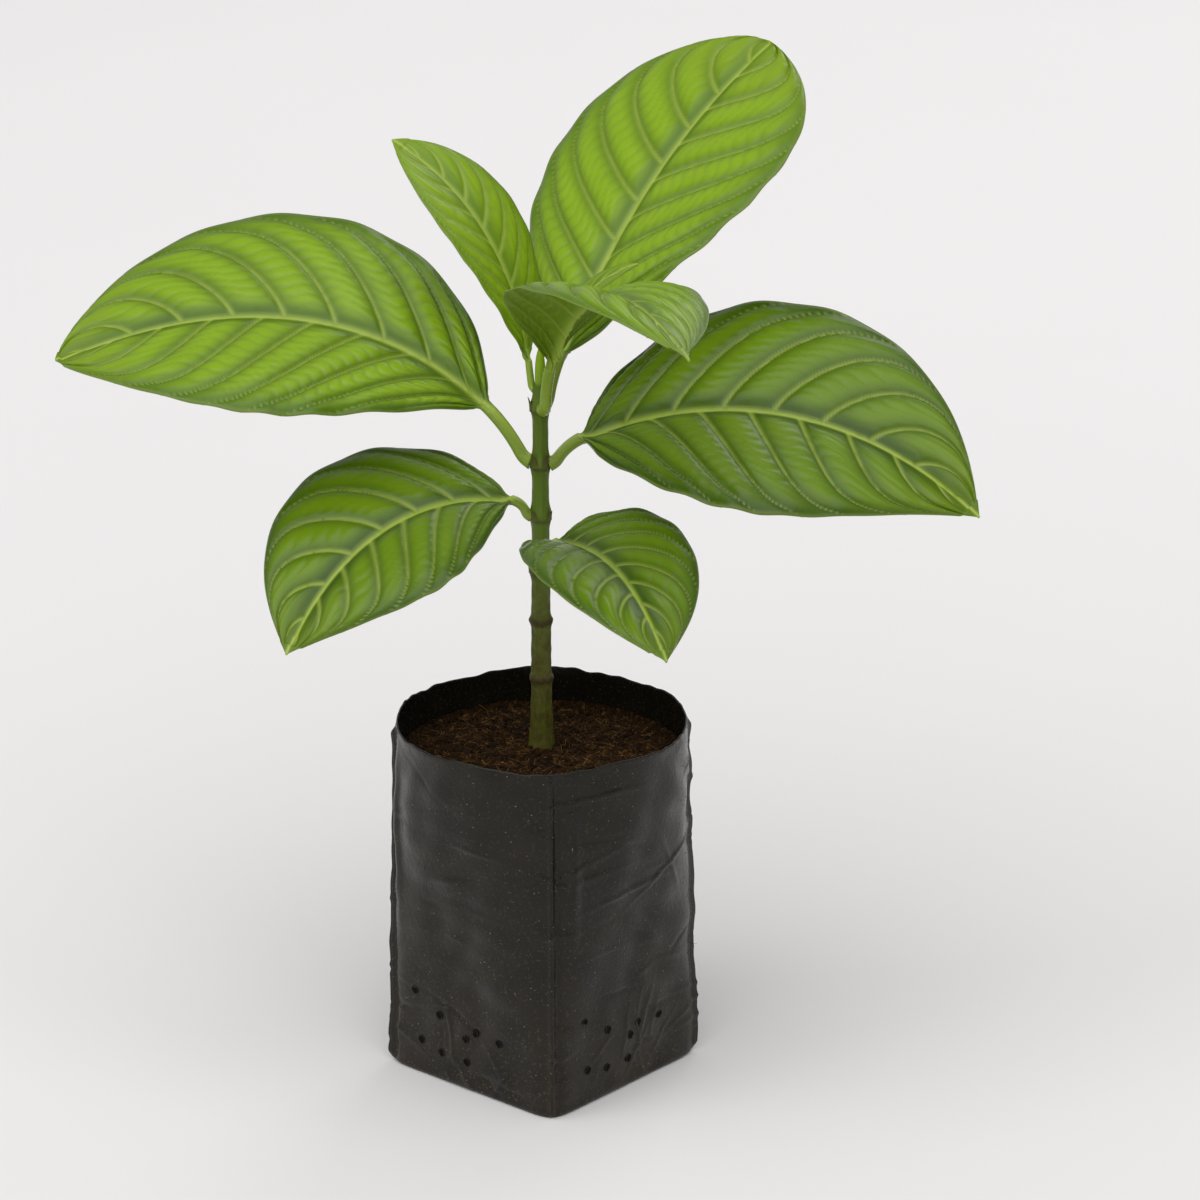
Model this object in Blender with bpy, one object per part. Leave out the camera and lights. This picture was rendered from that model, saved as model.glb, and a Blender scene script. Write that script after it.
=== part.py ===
"""A young noni plant in a black nursery grow bag.

The bag is a film sleeve, square at its folded base and round at its open rim.
It is filled with potting mix, and one slender stem carries eight big leaves.
The frame's origin is the middle of the bag's flat underside, +Z is up and
-Y is the side that the plant is looked at from. Lengths are in metres.
"""
import math
from dataclasses import dataclass

import bmesh
import bpy
from mathutils import Vector

# Driving dimensions of the grow bag
BAG_RIM_RADIUS = 0.0485
BAG_HEIGHT = 0.123
BAG_CORNER_REACH = 0.0509
BAG_TURN = math.radians(4.0)
BAG_WALL = 0.0008
BAG_FLOOR = 0.0010
BAG_FOOT_ROUND = 0.0012
BAG_SIDES = 48
BAG_LEVELS = 9
BASE_SQUARENESS = 12.0
ROUND_SQUARENESS = 2.0
SQUARENESS_FADE = 2.5
RIM_WAVE = 0.0006
RIM_WAVE_COUNT = 5
WAVE_START = 0.086

# Driving dimensions of the potting mix
SOIL_EDGE_HEIGHT = 0.1115
SOIL_SEAT_HEIGHT = 0.1136
SOIL_SEAT_RADIUS = 0.0065
SOIL_LUMP = 0.0011
SOIL_RINGS = 6

# Driving dimensions of the stem
STEM_FOOT_RADIUS = 0.0036
STEM_TIP_RADIUS = 0.0024
STEM_TIP_HEIGHT = 0.2400
ROOT_FLARE = 0.0009
ROOT_FLARE_HEIGHT = 0.0060
STEM_SIDES = 16
SCAR_HEIGHTS = (0.1379, 0.1581)
SCAR_SWELL = 0.0007
SCAR_HALF_WIDTH = 0.0014
NODE_HEIGHTS = (0.1764, 0.1950, 0.2130, 0.2323)
NODE_SWELL = 0.0009
NODE_HALF_WIDTH = 0.0030

# Driving dimensions that all leaves share
GAP = 0.0003
FOOT_PITCH = 20.0
FOOT_SHARE = 0.25
PETIOLE_STEPS = (0.0, 0.08, 0.16, 0.25, 0.45, 0.65, 0.85)
BLADE_RINGS = 20
LEAF_THICKNESS_SHARE = 0.013
MARGIN_THINNING = 0.2
RIB_RADIUS = 0.0016
BLADE_SHARES = (-1.0, -0.55, 0.55, 1.0)
BLADE_START = 0.06
TIP_HALF_WIDTH = 0.0004


@dataclass(frozen=True)
class Leaf:
    """One leaf: lengths in millimetres, angles in degrees.

    The petiole, a length and a radius, leaves the stem at height, heading to
    azimuth. The pitch is that of the petiole's foot, the blade's base and its
    tip, and what is added half way along the blade. The blade bends sideways
    by bend and rolls about its rib between two rolls. It is folded up along
    the rib by a mean fold and the change of fold from base to tip, while arch
    turns its margins down. The blade is a length and a greatest width, and
    its outline says where that width lies and how pointed the ends are.
    """
    name: str
    height: float
    azimuth: float
    bend: float
    petiole: tuple
    pitch: tuple
    roll: tuple
    fold: tuple
    arch: float
    blade: tuple
    outline: tuple
    colour: tuple


DEEP_GREEN = (0.060, 0.200, 0.014)
MID_GREEN = (0.085, 0.260, 0.016)
BRIGHT_GREEN = (0.120, 0.330, 0.020)
YOUNG_GREEN = (0.190, 0.370, 0.024)

LEAVES = (
    Leaf("leaf_low_right", height=176.4, azimuth=-67, bend=-4, petiole=(17.5, 1.7),
         pitch=(88, 20, -35, 5), roll=(-17, 13), fold=(12, -46), arch=0.12,
         blade=(102.5, 55.5), outline=(0.44, 1.81), colour=DEEP_GREEN),
    Leaf("leaf_low_left", height=195.0, azimuth=189, bend=43, petiole=(9, 1.7),
         pitch=(68, 14, -53, -8), roll=(16, 14), fold=(10, 2), arch=0.12,
         blade=(99, 78.5), outline=(0.43, 1.88), colour=DEEP_GREEN),
    Leaf("leaf_big_left", height=213.0, azimuth=159, bend=29, petiole=(22.5, 2.1),
         pitch=(59, 42, -23, -7), roll=(39, 17), fold=(10, -3), arch=0.12,
         blade=(154.5, 95), outline=(0.54, 1.83), colour=MID_GREEN),
    Leaf("leaf_big_right", height=213.0, azimuth=-5, bend=-16, petiole=(14, 2.1),
         pitch=(57, 27, -42, 0), roll=(-18, -40), fold=(11, -1), arch=0.12,
         blade=(142, 97.5), outline=(0.41, 1.83), colour=DEEP_GREEN),
    Leaf("leaf_front", height=232.3, azimuth=-73, bend=8, petiole=(20, 1.9),
         pitch=(78, 55, -23, 2), roll=(-14, 28), fold=(18, -38), arch=0.25,
         blade=(135, 64.5), outline=(0.50, 2.48), colour=BRIGHT_GREEN),
    Leaf("leaf_top", height=232.3, azimuth=60, bend=-27, petiole=(17, 1.9),
         pitch=(68, 47, 31, 3), roll=(13, -7), fold=(9, -10), arch=0.12,
         blade=(135, 97), outline=(0.61, 1.45), colour=BRIGHT_GREEN),
    Leaf("leaf_young_left", height=238.0, azimuth=145, bend=12, petiole=(10.5, 1.2),
         pitch=(81, 84, 23, 0), roll=(-16, 27), fold=(11, 0), arch=0.12,
         blade=(88.5, 38.5), outline=(0.48, 1.71), colour=YOUNG_GREEN),
    Leaf("leaf_young_right", height=238.0, azimuth=-13, bend=12, petiole=(5.5, 0.9),
         pitch=(77, 86, 15, 5), roll=(-11, -10), fold=(12, -8), arch=0.12,
         blade=(51.5, 16), outline=(0.48, 1.55), colour=YOUNG_GREEN),
)

# Driving dimensions of the bud at the stem's tip
BUD_RADIUS = 0.0017
BUD_LENGTH = 0.0130
BUD_TIP_RADIUS = 0.0002
BUD_RINGS = 6
BUD_SIDES = 12


def clear_scene():
    """Remove every object that the file opened with."""
    for item in list(bpy.data.objects):
        bpy.data.objects.remove(item, do_unlink=True)


def make_material(name, colour, roughness, metallic=0.0):
    """Return a Principled material of one colour."""
    material = bpy.data.materials.new(name)
    material.use_nodes = True
    shader = material.node_tree.nodes["Principled BSDF"]
    shader.inputs["Base Color"].default_value = (*colour, 1.0)
    shader.inputs["Roughness"].default_value = roughness
    shader.inputs["Metallic"].default_value = metallic
    return material


def smooth_step(value):
    """Ease a value from 0 to 1."""
    value = min(max(value, 0.0), 1.0)
    return value * value * (3.0 - 2.0 * value)


def loft(name, rings, material, first_centre=None):
    """Join closed rings of equal count into one closed body with capped ends."""
    mesh = bmesh.new()
    rows = [[mesh.verts.new(point) for point in ring] for ring in rings]
    count = len(rings[0])
    for lower, upper in zip(rows, rows[1:]):
        for index in range(count):
            after = (index + 1) % count
            mesh.faces.new((lower[index], lower[after], upper[after], upper[index]))
    if first_centre is None:
        first_centre = sum(rings[0], Vector()) / count
    last_centre = sum(rings[-1], Vector()) / count
    for row, place in ((rows[0], first_centre), (rows[-1], last_centre)):
        centre = mesh.verts.new(place)
        for index in range(count):
            mesh.faces.new((row[index], row[(index + 1) % count], centre))
    bmesh.ops.triangulate(mesh, faces=mesh.faces[:])
    bmesh.ops.recalc_face_normals(mesh, faces=mesh.faces[:])
    data = bpy.data.meshes.new(name)
    mesh.to_mesh(data)
    mesh.free()
    data.shade_smooth()
    data.set_sharp_from_angle(angle=math.radians(40.0))
    data.materials.append(material)
    item = bpy.data.objects.new(name, data)
    bpy.context.scene.collection.objects.link(item)
    return item


def circle_ring(radius, level, sides):
    """Points round a level circle about the plant's upright axis."""
    ring = []
    for index in range(sides):
        angle = 2.0 * math.pi * index / sides
        ring.append(Vector((radius * math.cos(angle), radius * math.sin(angle), level)))
    return ring


def squareness(height):
    """Power of the bag's outline: a square at the base, a circle at the rim."""
    share = 1.0 - height / BAG_HEIGHT
    return ROUND_SQUARENESS + (BASE_SQUARENESS - ROUND_SQUARENESS) * share ** SQUARENESS_FADE


def outline_radius(angle, power):
    """Radius of a rounded square at an angle from its side, 1 at its corners."""
    across = abs(math.cos(angle)) ** power
    along = abs(math.sin(angle)) ** power
    corner = 2.0 * math.cos(math.radians(45.0)) ** power
    return (corner / (across + along)) ** (1.0 / power)


def bag_ring(height, inset, level):
    """Points round the bag's outline at a height, drawn in by an inset."""
    power = squareness(height)
    reach = BAG_CORNER_REACH + (BAG_RIM_RADIUS - BAG_CORNER_REACH) * height / BAG_HEIGHT
    rise = smooth_step((level - WAVE_START) / (BAG_HEIGHT - WAVE_START))
    ring = []
    for index in range(BAG_SIDES):
        turn = 2.0 * math.pi * index / BAG_SIDES
        radius = reach * outline_radius(turn, power) - inset
        angle = turn + BAG_TURN - math.radians(45.0)
        wave = RIM_WAVE * rise * math.sin(RIM_WAVE_COUNT * angle)
        ring.append(Vector((radius * math.cos(angle), radius * math.sin(angle), level + wave)))
    return ring


def make_bag():
    """Build the film bag: outer wall up, over the rim and down to the floor."""
    film = make_material("black_film", (0.012, 0.012, 0.013), 0.35)
    levels = [BAG_HEIGHT * index / BAG_LEVELS for index in range(1, BAG_LEVELS + 1)]
    rings = [bag_ring(0.0, BAG_FOOT_ROUND, 0.0), bag_ring(0.0, 0.0, BAG_FOOT_ROUND)]
    rings += [bag_ring(level, 0.0, level) for level in levels]
    rings += [bag_ring(level, BAG_WALL, level) for level in reversed(levels)]
    rings.append(bag_ring(0.0, BAG_WALL, BAG_FLOOR + BAG_FOOT_ROUND))
    rings.append(bag_ring(0.0, BAG_WALL + BAG_FOOT_ROUND, BAG_FLOOR))
    return loft("grow_bag", rings, film)


def soil_height(radius, angle):
    """Height of the potting mix: a flat seat under the stem, lumps further out."""
    reach = BAG_RIM_RADIUS - SOIL_SEAT_RADIUS
    outward = smooth_step((radius - SOIL_SEAT_RADIUS) / reach)
    fall = (SOIL_SEAT_HEIGHT - SOIL_EDGE_HEIGHT) * outward
    lump = math.sin(3.0 * angle + 0.6) + 0.7 * math.sin(5.0 * angle + 160.0 * radius)
    return SOIL_SEAT_HEIGHT - fall + SOIL_LUMP * 0.5 * lump * math.sin(math.pi * outward)


def make_soil():
    """Build the potting mix, clear of the film by the gap all round."""
    mix = make_material("potting_mix", (0.035, 0.018, 0.009), 0.95)
    inset = BAG_WALL + GAP
    foot = BAG_FLOOR + GAP
    rings = [bag_ring(0.0, inset + BAG_FOOT_ROUND, foot)]
    rings.append(bag_ring(0.0, inset, foot + BAG_FOOT_ROUND))
    for index in range(1, BAG_LEVELS):
        level = BAG_HEIGHT * index / BAG_LEVELS
        if level < SOIL_EDGE_HEIGHT - SOIL_LUMP * 2.0:
            rings.append(bag_ring(level, inset, level))
    rim = bag_ring(SOIL_EDGE_HEIGHT, inset, SOIL_EDGE_HEIGHT)
    for index in range(SOIL_RINGS + 1):
        share = 1.0 - index / SOIL_RINGS
        ring = []
        for point in rim:
            radius = SOIL_SEAT_RADIUS + (math.hypot(point.x, point.y) - SOIL_SEAT_RADIUS) * share
            angle = math.atan2(point.y, point.x)
            level = soil_height(radius, angle)
            ring.append(Vector((radius * math.cos(angle), radius * math.sin(angle), level)))
        rings.append(ring)
    return loft("soil", rings, mix)


def stem_radius(height):
    """Radius of the stem at a height, with its flare, scars and nodes."""
    foot = SOIL_SEAT_HEIGHT
    share = (height - foot) / (STEM_TIP_HEIGHT - foot)
    radius = STEM_FOOT_RADIUS + (STEM_TIP_RADIUS - STEM_FOOT_RADIUS) * share
    radius += ROOT_FLARE * math.exp(-(height - foot) / ROOT_FLARE_HEIGHT)
    for scar in SCAR_HEIGHTS:
        radius += SCAR_SWELL * math.exp(-((height - scar) / SCAR_HALF_WIDTH) ** 2)
    for node in NODE_HEIGHTS:
        radius += NODE_SWELL * math.exp(-((height - node) / NODE_HALF_WIDTH) ** 2)
    return radius


def stem_levels():
    """Heights of the stem's rings, closer together at scars and nodes."""
    foot = SOIL_SEAT_HEIGHT + GAP
    levels = {foot, foot + 0.002, foot + 0.006, foot + 0.012, STEM_TIP_HEIGHT}
    for scar in SCAR_HEIGHTS:
        levels.update(scar + step * SCAR_HALF_WIDTH for step in (-2.0, -0.9, 0.0, 0.9, 2.0))
    for node in NODE_HEIGHTS:
        levels.update(node + step * NODE_HALF_WIDTH for step in (-1.8, -0.8, 0.0, 0.8, 1.8))
    return sorted(levels)


def make_stem():
    """Build the stem from its flat cut at the soil to its tip."""
    bark = make_material("green_bark", (0.110, 0.150, 0.022), 0.55)
    rings = [circle_ring(stem_radius(level), level, STEM_SIDES) for level in stem_levels()]
    return loft("stem", rings, bark)


def make_bud():
    """Build the pointed bud that ends the stem."""
    green = make_material("bud_green", YOUNG_GREEN, 0.4)
    foot = STEM_TIP_HEIGHT + GAP
    rings = []
    for index in range(BUD_RINGS + 1):
        share = index / BUD_RINGS
        radius = BUD_RADIUS * (1.0 - share ** 2.2) ** 0.8 * (0.85 + 0.3 * share) + BUD_TIP_RADIUS
        rings.append(circle_ring(radius, foot + BUD_LENGTH * share, BUD_SIDES))
    return loft("terminal_bud", rings, green)


@dataclass(frozen=True)
class Station:
    """One place along a leaf: where its rib runs and how its section lies."""
    place: Vector
    across: Vector
    normal: Vector
    heading: Vector
    half_width: float
    fold: float
    flatness: float
    along: float


def half_width_share(along, peak, point):
    """Half width of a blade as a share of its greatest, from base 0 to tip 1."""
    along = min(max(along, 1e-6), 1.0 - 1e-6)
    rise = peak * point
    fall = (1.0 - peak) * point
    greatest = peak ** rise * (1.0 - peak) ** fall
    return along ** rise * (1.0 - along) ** fall / greatest


def leaf_steps():
    """Places along a leaf: below 0 on the petiole, from 0 to 1 on the blade."""
    petiole = [step - 1.0 for step in PETIOLE_STEPS]
    blade = []
    for index in range(BLADE_RINGS + 1):
        even = index / BLADE_RINGS
        blade.append(0.5 * even + 0.25 * (1.0 - math.cos(math.pi * even)))
    return petiole + blade


def rib_pitch(leaf, along):
    """Pitch of the rib, in radians, at a place along the leaf."""
    foot, base, tip, middle = leaf.pitch
    if along < 0.0:
        travelled = along + 1.0
        risen = smooth_step(travelled / FOOT_SHARE)
        eased = max(travelled - FOOT_SHARE, 0.0) / (1.0 - FOOT_SHARE)
        pitch = FOOT_PITCH + (foot - FOOT_PITCH) * risen + (base - foot) * eased
    else:
        pitch = base + (tip - base) * along + middle * 4.0 * along * (1.0 - along)
    return math.radians(pitch)


def leaf_stations(leaf):
    """Walk along a leaf's rib from the stem to the tip."""
    petiole_length, _ = leaf.petiole
    blade_length, blade_width = leaf.blade
    roll_base, roll_tip = leaf.roll
    mean_fold, fold_change = leaf.fold
    azimuth = math.radians(leaf.azimuth)
    height = leaf.height / 1000.0
    start = stem_radius(height) + GAP
    place = Vector((start * math.cos(azimuth), start * math.sin(azimuth), height))
    stations = []
    last_along = None
    last_heading = None
    for along in leaf_steps():
        on_blade = max(along, 0.0)
        pitch = rib_pitch(leaf, along)
        turn = azimuth + math.radians(leaf.bend) * on_blade
        level = Vector((math.cos(turn), math.sin(turn), 0.0))
        heading = level * math.cos(pitch) + Vector((0.0, 0.0, math.sin(pitch)))
        if last_along is not None:
            length = petiole_length if last_along < 0.0 else blade_length
            step = (along - last_along) * length / 1000.0
            place = place + (last_heading + heading) * 0.5 * step
        across = Vector((math.sin(turn), -math.cos(turn), 0.0))
        normal = across.cross(heading)
        roll = math.radians(roll_base + (roll_tip - roll_base) * on_blade)
        roll *= min(along + 1.0, 1.0)
        rolled = across * math.cos(roll) + normal * math.sin(roll)
        lifted = normal * math.cos(roll) - across * math.sin(roll)
        half_width = half_width_share(on_blade, *leaf.outline) * blade_width / 2000.0
        fold = math.radians(mean_fold + fold_change * (on_blade - 0.5))
        flatness = smooth_step(along / BLADE_START + 0.35)
        stations.append(Station(place, rolled, lifted, heading, half_width, fold, flatness, on_blade))
        last_along = along
        last_heading = heading
    return stations


def blade_section(leaf, station, thickness):
    """Section of the blade as (sideways, lift) pairs, top then underside."""
    petiole_radius = leaf.petiole[1] / 1000.0
    half = max(station.half_width, petiole_radius * (1.0 - station.along) + TIP_HALF_WIDTH)
    rib = min(RIB_RADIUS * (1.0 - 0.75 * station.along), 0.5 * half)
    reaches = sorted({*(half * share for share in BLADE_SHARES), -rib, 0.0, rib})
    top = []
    under = []
    for reach in reaches:
        share = abs(reach) / half
        lift = half * (math.sin(station.fold) * share - leaf.arch * share * share)
        sideways = reach * math.cos(station.fold)
        depth = thickness * (1.0 - MARGIN_THINNING * share)
        if reach == 0.0:
            depth += rib
        top.append((sideways, lift))
        under.append((sideways, lift - depth))
    return top + under[::-1]


def leaf_ring(leaf, station, thickness):
    """Points round one section: a round petiole that flattens to the blade."""
    radius = leaf.petiole[1] / 1000.0
    section = blade_section(leaf, station, thickness)
    count = len(section)
    ring = []
    for index, (sideways, lift) in enumerate(section):
        angle = math.pi * (1.0 - (index + 0.5) * 2.0 / count)
        round_side = radius * math.cos(angle)
        round_lift = radius * math.sin(angle)
        sideways = round_side + (sideways - round_side) * station.flatness
        lift = round_lift + (lift - round_lift) * station.flatness
        ring.append(station.place + station.across * sideways + station.normal * lift)
    return ring


def press_on_stem(point, heading):
    """Slide a point along a heading until it is clear of the stem by the gap."""
    level = Vector((heading.x, heading.y, 0.0))
    slope = level.length
    level.normalize()
    reach = stem_radius(point.z) + GAP
    side = point.x * level.y - point.y * level.x
    wanted = math.sqrt(reach * reach - side * side)
    behind = wanted - (point.x * level.x + point.y * level.y)
    return point + heading * (behind / slope)


def make_leaf(leaf):
    """Build one leaf, petiole and blade in one closed body."""
    surface = make_material(leaf.name + "_green", leaf.colour, 0.35)
    thickness = LEAF_THICKNESS_SHARE * (leaf.blade[0] + leaf.petiole[0]) / 1000.0
    stations = leaf_stations(leaf)
    rings = [leaf_ring(leaf, station, thickness) for station in stations]
    foot = stations[0]
    rings[0] = [press_on_stem(point, foot.heading) for point in rings[0]]
    return loft(leaf.name, rings, surface, press_on_stem(foot.place, foot.heading))


def main():
    """Build the whole plant and its bag."""
    clear_scene()
    make_bag()
    make_soil()
    make_stem()
    make_bud()
    for leaf in LEAVES:
        make_leaf(leaf)


main()
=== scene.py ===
import logging
import math
from dataclasses import dataclass
from enum import Enum

import bpy
import numpy as np
from mathutils import Matrix


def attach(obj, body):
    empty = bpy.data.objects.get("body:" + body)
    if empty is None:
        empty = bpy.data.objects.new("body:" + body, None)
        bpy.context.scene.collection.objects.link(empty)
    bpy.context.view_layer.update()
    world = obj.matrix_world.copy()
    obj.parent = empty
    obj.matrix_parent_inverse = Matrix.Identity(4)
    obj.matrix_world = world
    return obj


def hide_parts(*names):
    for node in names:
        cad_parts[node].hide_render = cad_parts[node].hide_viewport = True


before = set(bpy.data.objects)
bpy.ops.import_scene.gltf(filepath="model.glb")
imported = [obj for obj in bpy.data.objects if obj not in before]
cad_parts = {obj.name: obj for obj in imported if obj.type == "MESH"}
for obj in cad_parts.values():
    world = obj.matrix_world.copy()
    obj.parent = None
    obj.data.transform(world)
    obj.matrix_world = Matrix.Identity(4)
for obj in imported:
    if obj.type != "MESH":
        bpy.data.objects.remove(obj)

LOG = logging.getLogger("potted_tree")
BODY = "root"
FULL_TURN = 2.0 * math.pi
MILLIMETRE = 0.001
UP = np.array([0.0, 0.0, 1.0])

# The film bag, metres
BAG_RIM_RADIUS = 0.0485
BAG_HEIGHT = 0.123
BAG_CORNER_REACH = 0.0509
BAG_TURN = math.radians(4.0)
BAG_GIRTH = 0.31
FOOT_ROUND = 0.0012
RIM_ROUND = 0.0004
FILM = 0.0006
RIM_WAVE = 0.0006
RIM_RAG = 0.00035
WAVE_START = 0.086

# The soil, metres
SOIL_EDGE_HEIGHT = 0.1115
SOIL_SEAT_HEIGHT = 0.1136
SOIL_SEAT_RADIUS = 0.0065
SOIL_LUMP = 0.00055
SOIL_ROUGHNESS = 0.0004

# The stem, metres; a swelling is a rise and a width
STEM_FOOT = 0.1120
STEM_TIP = 0.2400
STEM_TOP = 0.2402
STEM_RADIUS = 0.0036
STEM_TAPER = 0.0012
ROOT_FLARE = (0.0009, 0.0060)
SCARS = (0.1379, 0.1581)
SCAR_SWELLING = (0.0007, 0.0014)
NODES = (0.1764, 0.1950, 0.2130, 0.2323)
NODE_SWELLING = (0.0009, 0.0030)
BARK_TOP = 0.128
BARK_FADE = 0.075
BUD_FOOT = 0.2399
BUD_LENGTH = 0.0130
BUD_RADIUS = 0.0017

# Relief of the leaves, metres, on a blade of WIDE_BLADE millimetres
WIDE_BLADE = 95.0
QUILT = 0.0018
QUILT_START = 0.004
VEIN_WIDTH = 0.00062
VEIN_GROOVE = 0.00045
LADDER_STEP = 0.0037
LADDER_WIDTH = 0.00055
LADDER_GROOVE = 0.00034
MARGIN_WAVE = 0.0009
RIB_WIDTH = 0.0013
RIB_RIDGE = 0.0013
RIB_SLIMMING = 0.75
RIB_CHANNEL = 0.0005
BLADE_FILM = 0.00045


class Slot(Enum):
    """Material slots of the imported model."""

    FILM = "film"
    SOIL = "soil"
    STEM = "stem"
    LEAF = "leaf"
    YOUNG_LEAF = "young_leaf"


# Small shared rules


def smooth_step(value: np.ndarray) -> np.ndarray:
    """Ease from 0 to 1, flat at both ends."""
    held = np.clip(value, 0.0, 1.0)
    return held * held * (3.0 - 2.0 * held)


def bell(distance: np.ndarray, width: float) -> np.ndarray:
    """Rounded swelling that is 1 in the middle and fades over a width."""
    return np.exp(-((distance / width) ** 2))


def turns(count: int) -> np.ndarray:
    """Even turns round a full circle, in radians."""
    return np.linspace(0.0, FULL_TURN, count, endpoint=False)


def colour(value: tuple) -> tuple:
    """Add a full alpha to a linear colour."""
    return (*value, 1.0)


class Ripples:
    """Smooth seeded noise: a sum of waves in every direction."""

    def __init__(self, seed: int, longest: float, shortest: float, count: int, axes: int) -> None:
        """Draw the waves.

        Args:
            seed: fixed seed of the draw.
            longest: longest wave, in metres.
            shortest: shortest wave, in metres.
            count: how many waves are added.
            axes: number of coordinates the noise is read at.
        """
        draw = np.random.default_rng(seed)
        way = draw.normal(size=(count, axes))
        way /= np.linalg.norm(way, axis=1)[:, None]
        length = np.exp(draw.uniform(math.log(shortest), math.log(longest), count))
        self.waves = way * (FULL_TURN / length)[:, None]
        self.phases = draw.uniform(0.0, FULL_TURN, count)

    def at(self, *coordinates: np.ndarray) -> np.ndarray:
        """Add up the waves at a place.

        Args:
            coordinates: one array for each axis, in metres.

        Returns:
            Noise of about -1 to 1.
        """
        total = 0.0
        for wave, phase in zip(self.waves, self.phases):
            total = total + np.sin(sum(k * c for k, c in zip(wave, coordinates)) + phase)
        return total / math.sqrt(len(self.phases))


# Node graphs


class Graph:
    """A node tree being wired up."""

    def __init__(self, tree: bpy.types.NodeTree) -> None:
        """Keep the tree that is built."""
        self.tree = tree

    def node(self, kind: str, feeds: dict = None, **settings: object) -> bpy.types.Node:
        """Add a node, set its properties and feed its inputs.

        Args:
            kind: Blender's name of the node type.
            feeds: outputs or constants, by the name or number of the input.
            settings: properties of the node, by name.

        Returns:
            The new node.
        """
        made = self.tree.nodes.new(kind)
        for key, value in settings.items():
            setattr(made, key, value)
        for key, value in (feeds or {}).items():
            if isinstance(value, bpy.types.NodeSocket):
                self.tree.links.new(value, made.inputs[key])
            else:
                made.inputs[key].default_value = value
        return made

    def math(self, operation: str, first: object, second: object) -> bpy.types.NodeSocket:
        """Work out a value from two others."""
        return self.node("ShaderNodeMath", {0: first, 1: second}, operation=operation).outputs[0]

    def mix(self, share: object, first: object, second: object) -> bpy.types.NodeSocket:
        """Mix two colours by the share of the second one."""
        return self.node("ShaderNodeMix", {0: share, 6: first, 7: second}, data_type="RGBA").outputs[2]

    def attribute(self, name: str) -> bpy.types.NodeSocket:
        """Read a mesh attribute as a value."""
        return self.node("ShaderNodeAttribute", attribute_name=name).outputs["Fac"]

    def place(self) -> bpy.types.NodeSocket:
        """Read the object coordinates."""
        return self.node("ShaderNodeTexCoord").outputs["Object"]


def speckle_group() -> bpy.types.NodeTree:
    """Make the node group of soft specks from noise.

    Returns:
        The group, with inputs Vector, Scale, Cover and Softness and outputs Mask and Grain.
    """
    tree = bpy.data.node_groups.new("Speckle", "ShaderNodeTree")
    face = tree.interface
    face.new_socket("Vector", in_out="INPUT", socket_type="NodeSocketVector")
    for name, value in (("Scale", 400.0), ("Cover", 0.3), ("Softness", 0.08)):
        face.new_socket(name, in_out="INPUT", socket_type="NodeSocketFloat").default_value = value
    for name in ("Mask", "Grain"):
        face.new_socket(name, in_out="OUTPUT", socket_type="NodeSocketFloat")
    graph = Graph(tree)
    given = graph.node("NodeGroupInput").outputs
    noise = graph.node("ShaderNodeTexNoise", {
        "Vector": given["Vector"], "Scale": given["Scale"], "Detail": 4.0, "Roughness": 0.6})
    edge = graph.math("SUBTRACT", 0.75, graph.math("MULTIPLY", given["Cover"], 0.5))
    ramp = graph.node("ShaderNodeMapRange", {
        "Value": noise.outputs["Fac"],
        "From Min": graph.math("SUBTRACT", edge, given["Softness"]),
        "From Max": graph.math("ADD", edge, given["Softness"])})
    graph.node("NodeGroupOutput", {"Mask": ramp.outputs["Result"], "Grain": noise.outputs["Fac"]})
    return tree


class Surface:
    """A material being built, with the shared speckle group at hand."""

    speckles: bpy.types.NodeTree = None
    bump_strength: float = 0.8

    def __init__(self, name: str) -> None:
        """Start an empty material.

        Args:
            name: name of the material.
        """
        self.material = bpy.data.materials.new(name)
        self.material.use_nodes = True
        self.material.node_tree.nodes.clear()
        self.graph = Graph(self.material.node_tree)

    def speckle(self, scale: float, cover: float, softness: float) -> bpy.types.Node:
        """Use the speckle group.

        Args:
            scale: how fine the grain is.
            cover: share of the surface that the specks cover, about.
            softness: softness of a speck's edge.

        Returns:
            The group node.
        """
        if Surface.speckles is None:
            Surface.speckles = speckle_group()
        feeds = {"Vector": self.graph.place(), "Scale": scale, "Cover": cover, "Softness": softness}
        return self.graph.node("ShaderNodeGroup", feeds, node_tree=Surface.speckles)

    def finish(self, base: object, rough: object, bump: object, depth: float, gloss: float) -> None:
        """Wire the shader and the output.

        Args:
            base: base colour.
            rough: roughness.
            bump: height that drives the bump.
            depth: bump distance, in metres.
            gloss: constant specular level.
        """
        bumped = self.graph.node("ShaderNodeBump", {
            "Height": bump, "Distance": depth, "Strength": self.bump_strength})
        shader = self.graph.node("ShaderNodeBsdfPrincipled", {
            "Base Color": base, "Roughness": rough, "Specular IOR Level": gloss,
            "Normal": bumped.outputs["Normal"]})
        self.graph.node("ShaderNodeOutputMaterial", {"Surface": shader.outputs["BSDF"]})


# Finishes, in linear colours


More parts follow.
